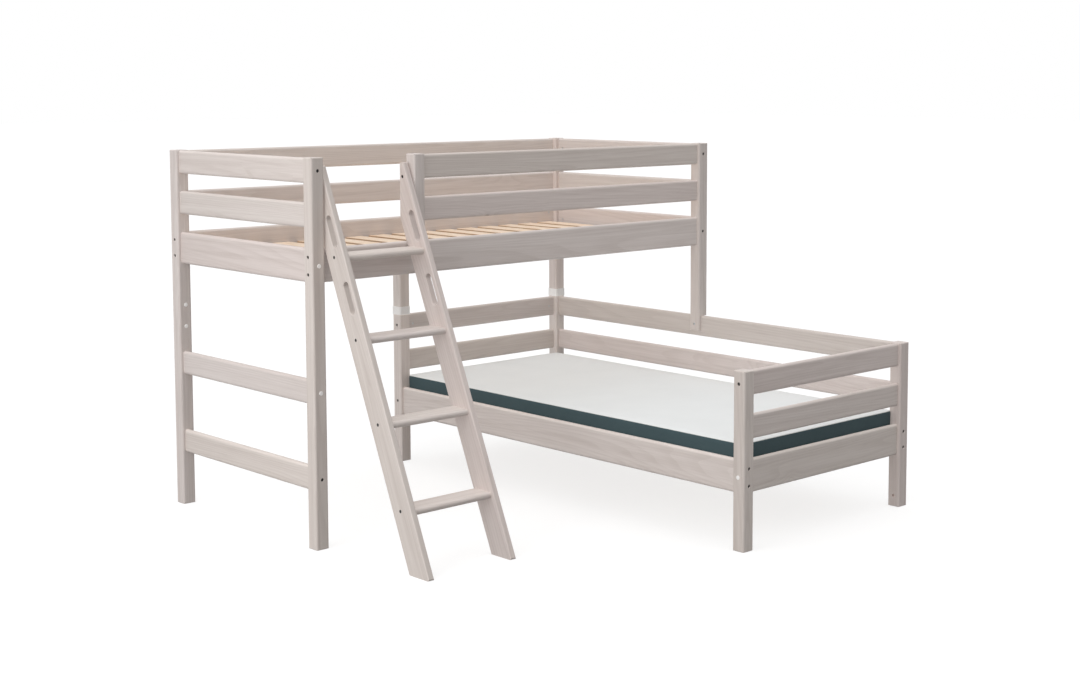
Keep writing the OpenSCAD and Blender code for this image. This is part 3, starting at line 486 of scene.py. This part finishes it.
# ---- mattress ----
# A foam block in a sewn cover: pale knitted panels above and below, a dark border round
# the sides, and a thin pale piping along both seams. The top and the sides swell a little
# between the seams, and the whole cover lifts out with the mattress.

pad_low, pad_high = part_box("mattress")
PAD_EDGE = 0.009
PAD_CORNER = 0.015
ROUND_STEPS = 4
PAD_CUTS = (24, 54, 5)
PAD_PROUD = 0.003
PAD_SWELL_TOP = 0.0045
PAD_SWELL_SIDE = 0.0035
PAD_SINK = 0.1
SEAM_DROP = PAD_EDGE * (1 - math.sin(math.pi / 4))
TOUCHING = 1e-5
HELD_BELOW = 1e-4

FILL_FRAMES = 20
FILL_PRESSURE = 4
CLOTH_STRETCH = 12
CLOTH_SHEAR = 6
CLOTH_BEND = 4
CLOTH_MASS = 0.3

DIMPLE_DEPTH = 0.0009
DIMPLES_PER_METRE = 5.0
DIMPLE_DROP = 0.0004

BORDER_LIFT = 0.0004
BORDER_THICKNESS = 0.0012
PIPING_LIFT = 0.0008
PIPING_RADIUS = 0.0021


def between(fields, low, high):
    """The places that part a stretch into equal fields, without its ends."""
    return [low + (high - low) * k / fields for k in range(1, fields)]


def rounded(block, edges, radius):
    """Rounds edges of a block in steps."""
    bmesh.ops.bevel(
        block, geom=edges, offset=radius, offset_type="OFFSET", segments=ROUND_STEPS,
        profile=0.5, affect="EDGES", material=-1,
    )


def foam_block():
    """The cover before it is filled: a rounded block, cut into quads of about 36 mm."""
    size = pad_high - pad_low + Vector((2 * PAD_PROUD, 2 * PAD_PROUD, -PAD_SWELL_TOP))
    centre = (pad_low + pad_high) / 2
    centre.z = pad_low.z + size.z / 2
    block = bmesh.new()
    bmesh.ops.create_cube(block, size=1)
    bmesh.ops.scale(block, vec=size, verts=block.verts)
    upright = [e for e in block.edges if abs(e.verts[0].co.z - e.verts[1].co.z) > size.z / 2]
    rounded(block, upright, PAD_CORNER)
    rims = [e for e in block.edges if abs(e.verts[0].co.z - e.verts[1].co.z) < TOUCHING]
    rounded(block, rims, PAD_EDGE)
    for axis, count in enumerate(PAD_CUTS):
        inset = PAD_EDGE if axis == 2 else PAD_CORNER
        reach = size[axis] / 2 - inset
        normal = Vector([1.0 if a == axis else 0.0 for a in range(3)])
        places = between(count, -reach, reach)
        if axis < 2:
            places += [-reach, reach]
        for place in places:
            bmesh.ops.bisect_plane(
                block, geom=block.verts[:] + block.edges[:] + block.faces[:],
                dist=TOUCHING, plane_co=normal * place, plane_no=normal,
            )
    bmesh.ops.translate(block, vec=centre, verts=block.verts)
    for edge in block.edges:
        edge.seam = all(on_seam(v.co.z) for v in edge.verts)
    return block


def on_seam(z, tolerance=4e-4):
    """Whether a height lies on one of the two seams, where the cover's panels meet."""
    top = pad_high.z - PAD_SWELL_TOP - SEAM_DROP
    return abs(z - top) < tolerance or abs(z - pad_low.z - SEAM_DROP) < tolerance


def filled(mesh_object):
    """Blows the cover up with the seams and the underside held, and limits the swell."""
    mesh = mesh_object.data
    rest = [v.co.copy() for v in mesh.vertices]
    held = [i for i, co in enumerate(rest) if on_seam(co.z) or co.z < pad_low.z + HELD_BELOW]
    mesh_object.vertex_groups.new(name="held").add(held, 1.0, "REPLACE")
    fill = mesh_object.modifiers.new("fill", "CLOTH")
    fill.settings.quality = 6
    fill.settings.mass = CLOTH_MASS
    fill.settings.tension_stiffness = CLOTH_STRETCH
    fill.settings.compression_stiffness = CLOTH_STRETCH
    fill.settings.shear_stiffness = CLOTH_SHEAR
    fill.settings.bending_stiffness = CLOTH_BEND
    fill.settings.use_pressure = True
    fill.settings.uniform_pressure_force = FILL_PRESSURE
    fill.settings.vertex_group_mass = "held"
    fill.settings.effector_weights.gravity = 0
    fill.point_cache.frame_start = 1
    fill.point_cache.frame_end = FILL_FRAMES
    for number in range(1, FILL_FRAMES + 1):
        bpy.context.scene.frame_set(number)
    grown = mesh_object.evaluated_get(bpy.context.evaluated_depsgraph_get())
    moves = [v.co - rest[i] for i, v in enumerate(grown.data.vertices)]
    mesh_object.modifiers.remove(fill)
    bpy.context.scene.frame_set(1)
    for vertex, move in zip(mesh.vertices, moves):
        flat = Vector((move.x, move.y, 0.0))
        if flat.length > 0:
            flat *= PAD_SWELL_SIDE / (PAD_SWELL_SIDE + flat.length)
        lift = max(move.z, 0.0)
        lift *= PAD_SWELL_TOP / (PAD_SWELL_TOP + lift)
        sink = min(move.z, 0.0) if vertex.co.z > pad_low.z + PAD_EDGE else 0.0
        vertex.co += flat + Vector((0.0, 0.0, lift + sink * PAD_SINK))


def finish_mesh(mesh_object, levels):
    """Smooths a mesh by subdivision and keeps the result as plain mesh data."""
    smooth = mesh_object.modifiers.new("smooth", "SUBSURF")
    smooth.levels = levels
    smooth.render_levels = levels
    grown = mesh_object.evaluated_get(bpy.context.evaluated_depsgraph_get())
    mesh = bpy.data.meshes.new_from_object(grown)
    mesh_object.modifiers.remove(smooth)
    mesh_object.data = mesh
    mesh.polygons.foreach_set("use_smooth", [True] * len(mesh.polygons))


def new_piece(name, mesh, material, body):
    """A finished piece that rides on a body, with its material."""
    piece = bpy.data.objects.new(name, mesh)
    bpy.context.scene.collection.objects.link(piece)
    mesh.materials.clear()
    mesh.materials.append(material)
    mesh.polygons.foreach_set("use_smooth", [True] * len(mesh.polygons))
    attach(piece, body)


# Knitted cloth: a small egg-box relief that shows alike on level and upright faces, with
# yarns that vary a little in tone, and painted shade that darkens the dips between the
# loops and lightens their raised tops
KNIT_DEPTH = 0.0005
YARN_CELLS = (310.0, 310.0, 310.0)
PATCH_CELLS = (7.0, 7.0, 7.0)
knit, given, result = new_group(
    "knit",
    {"Place": "Vector", "Pitch": "Float", "Light": "Color", "Dark": "Color"},
    {"Color": "Color", "Height": "Float"},
)
turns = calc(knit, "DIVIDE", 2 * math.pi, given["Pitch"])
turns = put(knit, "CombineXYZ", {0: turns, 1: turns, 2: turns}).outputs[0]
angle = vector_calc(knit, "MULTIPLY", given["Place"], turns).outputs[0]
wave = vector_calc(knit, "SINE", angle).outputs[0]
parts = put(knit, "SeparateXYZ", {0: wave}).outputs
loops = calc(knit, "ADD", calc(knit, "ADD", parts[0], parts[1]), parts[2])
loops = calc(knit, "MULTIPLY_ADD", loops, 1 / 6, 0.5)
yarn = cloudy(knit, given["Place"], YARN_CELLS, 3.0)
patch = cloudy(knit, given["Place"], PATCH_CELLS)
shade = calc(knit, "MULTIPLY_ADD", yarn, 0.5, calc(knit, "MULTIPLY", patch, 0.35))
# The loops' relief is also painted into the colour: painted shade in the dips and painted light on
# the raised loops
shade = calc(knit, "MULTIPLY_ADD", loops, 0.2, shade)
knit.links.new(mix_colors(knit, shade, given["Dark"], given["Light"]), result["Color"])
knit.links.new(calc(knit, "MULTIPLY_ADD", yarn, 0.3, loops), result["Height"])


def knitted(name, pitch, light, dark, bump):
    """Knitted cloth with loops of a pitch, in a light and a dark tone."""
    def look(tree):
        cloth = put(
            tree, "Group",
            {"Place": object_place(tree), "Pitch": pitch, "Light": (*light, 1), "Dark": (*dark, 1)},
            node_tree=knit,
        ).outputs
        return {
            "Base Color": cloth["Color"],
            "Roughness": 0.92,
            "Normal": relief(tree, cloth["Height"], bump, KNIT_DEPTH),
            "Sheen Weight": 0.1,
            "Sheen Roughness": 0.5,
            "Specular IOR Level": 0.2,
        }

    return plain_material(name, look)


cover_cloth = knitted("cover_knit", 0.0026, (0.825, 0.845, 0.845), (0.71, 0.73, 0.735), 0.35)
border_cloth = knitted("border_knit", 0.0036, (0.066, 0.104, 0.114), (0.036, 0.062, 0.070), 0.6)
piping_cloth = knitted("piping_cloth", 0.0012, (0.78, 0.80, 0.78), (0.66, 0.68, 0.67), 0.3)

block = foam_block()
pad_mesh = bpy.data.meshes.new("mattress_cover")
block.to_mesh(pad_mesh)
block.free()
pad = bpy.data.objects.new("mattress_cover", pad_mesh)
bpy.context.scene.collection.objects.link(pad)
filled(pad)
for vertex in pad.data.vertices:
    if vertex.co.z > pad_high.z - PAD_EDGE - PAD_SWELL_TOP:
        dimple = noise.noise(vertex.co * DIMPLES_PER_METRE)
        vertex.co.z += DIMPLE_DEPTH * dimple - DIMPLE_DROP
finish_mesh(pad, levels=2)
pad.data.materials.append(cover_cloth)
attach(pad, "mattress")
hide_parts("mattress")

# The dark border is a band of thick knit over the sides, from seam to seam
border = bmesh.new()
border.from_mesh(pad.data)
sides = {max(border.faces, key=lambda face: face.normal.x)}
reached = list(sides)
while reached:
    for edge in reached.pop().edges:
        for face in edge.link_faces:
            if not edge.seam and face not in sides:
                sides.add(face)
                reached.append(face)
seam_points = [
    vertex.co + vertex.normal * PIPING_LIFT
    for vertex in border.verts if any(edge.seam for edge in vertex.link_edges)
]
for vertex in border.verts:
    vertex.co += vertex.normal * BORDER_LIFT
bmesh.ops.delete(border, geom=[f for f in border.faces if f not in sides], context="FACES")
bmesh.ops.solidify(border, geom=border.faces[:], thickness=-BORDER_THICKNESS)
bmesh.ops.recalc_face_normals(border, faces=border.faces)
border_mesh = bpy.data.meshes.new("mattress_border")
border.to_mesh(border_mesh)
border.free()
new_piece("mattress_border", border_mesh, border_cloth, "mattress")

# The piping is a thin cord in a pale sleeve, sewn into each seam
pad_middle = (pad_low + pad_high) / 2
for name, side in (("mattress_piping_top", 1), ("mattress_piping_bottom", -1)):
    round_trip = sorted(
        (p for p in seam_points if (p.z - pad_middle.z) * side > 0),
        key=lambda p: math.atan2(p.y - pad_middle.y, p.x - pad_middle.x),
    )
    line = bpy.data.curves.new(name, "CURVE")
    line.dimensions = "3D"
    line.bevel_depth = PIPING_RADIUS
    line.bevel_resolution = 2
    path = line.splines.new("POLY")
    path.points.add(len(round_trip) - 1)
    path.points.foreach_set("co", [c for p in round_trip for c in (*p, 1.0)])
    path.use_cyclic_u = True
    holder = bpy.data.objects.new(name, line)
    bpy.context.scene.collection.objects.link(holder)
    tube = bmesh.new()
    tube.from_mesh(holder.evaluated_get(bpy.context.evaluated_depsgraph_get()).to_mesh())
    bpy.data.objects.remove(holder)
    bmesh.ops.remove_doubles(tube, verts=tube.verts, dist=1e-6)
    bmesh.ops.recalc_face_normals(tube, faces=tube.faces)
    piping_mesh = bpy.data.meshes.new(name)
    tube.to_mesh(piping_mesh)
    tube.free()
    new_piece(name, piping_mesh, piping_cloth, "mattress")


# ---- floor, light and camera ----
# A pale studio floor without an edge, bright air all round, and a broad lamp at the left,
# so the front faces lie in half shade. Two weak suns without shadows fill the left and
# the top, and the camera looks from the front left, from above the raised bed's rails.

FLOOR_REACH = 60.0
FLOOR_DROP = 0.0005
FLOOR_SEEN = (0.50, 0.50, 0.50, 1)
FLOOR_GLOW = (0.54, 0.54, 0.54, 1)
FLOOR_LIT = (0.25, 0.25, 0.25, 1)
AIR_SEEN = 0.40
AIR_LIGHT = 0.60

def seen_directly(tree):
    """1 for what the camera sees, directly or in metal and glass, and 0 for other light."""
    path = put(tree, "LightPath").outputs
    return calc(
        tree, "MAXIMUM", path["Is Camera Ray"],
        calc(tree, "MAXIMUM", path["Is Glossy Ray"], path["Is Transmission Ray"]),
    )


floor_mesh = bpy.data.meshes.new("floor")
sheet = bmesh.new()
bmesh.ops.create_grid(sheet, x_segments=1, y_segments=1, size=FLOOR_REACH)
sheet.to_mesh(floor_mesh)
sheet.free()
floor = bpy.data.objects.new("floor", floor_mesh)
floor.location.z = -FLOOR_DROP
bpy.context.scene.collection.objects.link(floor)


def floor_paint(tree):
    """Dull paint that the camera sees brighter than it lights the bed."""
    seen = seen_directly(tree)
    return {
        "Base Color": mix_colors(tree, seen, FLOOR_LIT, FLOOR_SEEN),
        "Emission Color": mix_colors(tree, seen, (0.0, 0.0, 0.0, 1), FLOOR_GLOW),
        "Emission Strength": 1.0,
        "Roughness": 0.9,
        "Specular IOR Level": 0.0,
    }


floor_mesh.materials.append(plain_material("floor_paint", floor_paint))

world = bpy.data.worlds.new("studio")
bpy.context.scene.world = world
world.use_nodes = True
air = world.node_tree
air.nodes.clear()
brightness = calc(air, "MULTIPLY_ADD", seen_directly(air), AIR_SEEN, AIR_LIGHT)
sky = put(air, "Background", {"Color": (1, 1, 1, 1), "Strength": brightness})
put(air, "OutputWorld", {"Surface": sky.outputs[0]})


def lamp(name, kind, place, target, energy, size, shadow):
    """A lamp that looks from a place at a target, and that the camera doesn't see.

    The size is a disk's width in metres, or the angle that a sun fills.
    """
    data = bpy.data.lights.new(name, kind)
    data.energy = energy
    data.use_shadow = shadow
    if kind == "AREA":
        data.shape = "DISK"
        data.size = size
    else:
        data.angle = size
    holder = bpy.data.objects.new(name, data)
    holder.location = place
    holder.rotation_mode = "QUATERNION"
    holder.rotation_quaternion = (Vector(place) - Vector(target)).to_track_quat("Z", "Y")
    holder.visible_camera = False
    bpy.context.scene.collection.objects.link(holder)


lamp(
    "left_lamp", "AREA", place=(-3.3, -0.4, 1.4), target=(-0.3, -0.1, 0.8),
    energy=27.0, size=2.6, shadow=True,
)
lamp(
    "left_fill", "SUN", place=(-4.0, -0.4, 0.6), target=(0.0, 0.0, 0.0),
    energy=0.55, size=0.5, shadow=False,
)
lamp(
    "top_fill", "SUN", place=(-0.6, 0.0, 4.0), target=(0.0, 0.0, 0.0),
    energy=1.25, size=0.5, shadow=False,
)

CAMERA_PLACE = (-4.4326, -4.9640, 1.7090)
CAMERA_DOWN = math.radians(5.18)
CAMERA_TURN = -0.7682
camera_data = bpy.data.cameras.new("camera")
camera_data.lens = 55.52
camera_data.sensor_width = 36.0
camera_data.shift_x = -0.06
camera_data.shift_y = -0.10
camera_data.clip_end = 200.0
camera = bpy.data.objects.new("camera", camera_data)
camera.location = CAMERA_PLACE
camera.rotation_euler = (math.pi / 2 - CAMERA_DOWN, 0.0, CAMERA_TURN)
bpy.context.scene.collection.objects.link(camera)
bpy.context.scene.camera = camera
bpy.context.scene.view_settings.view_transform = "Standard"
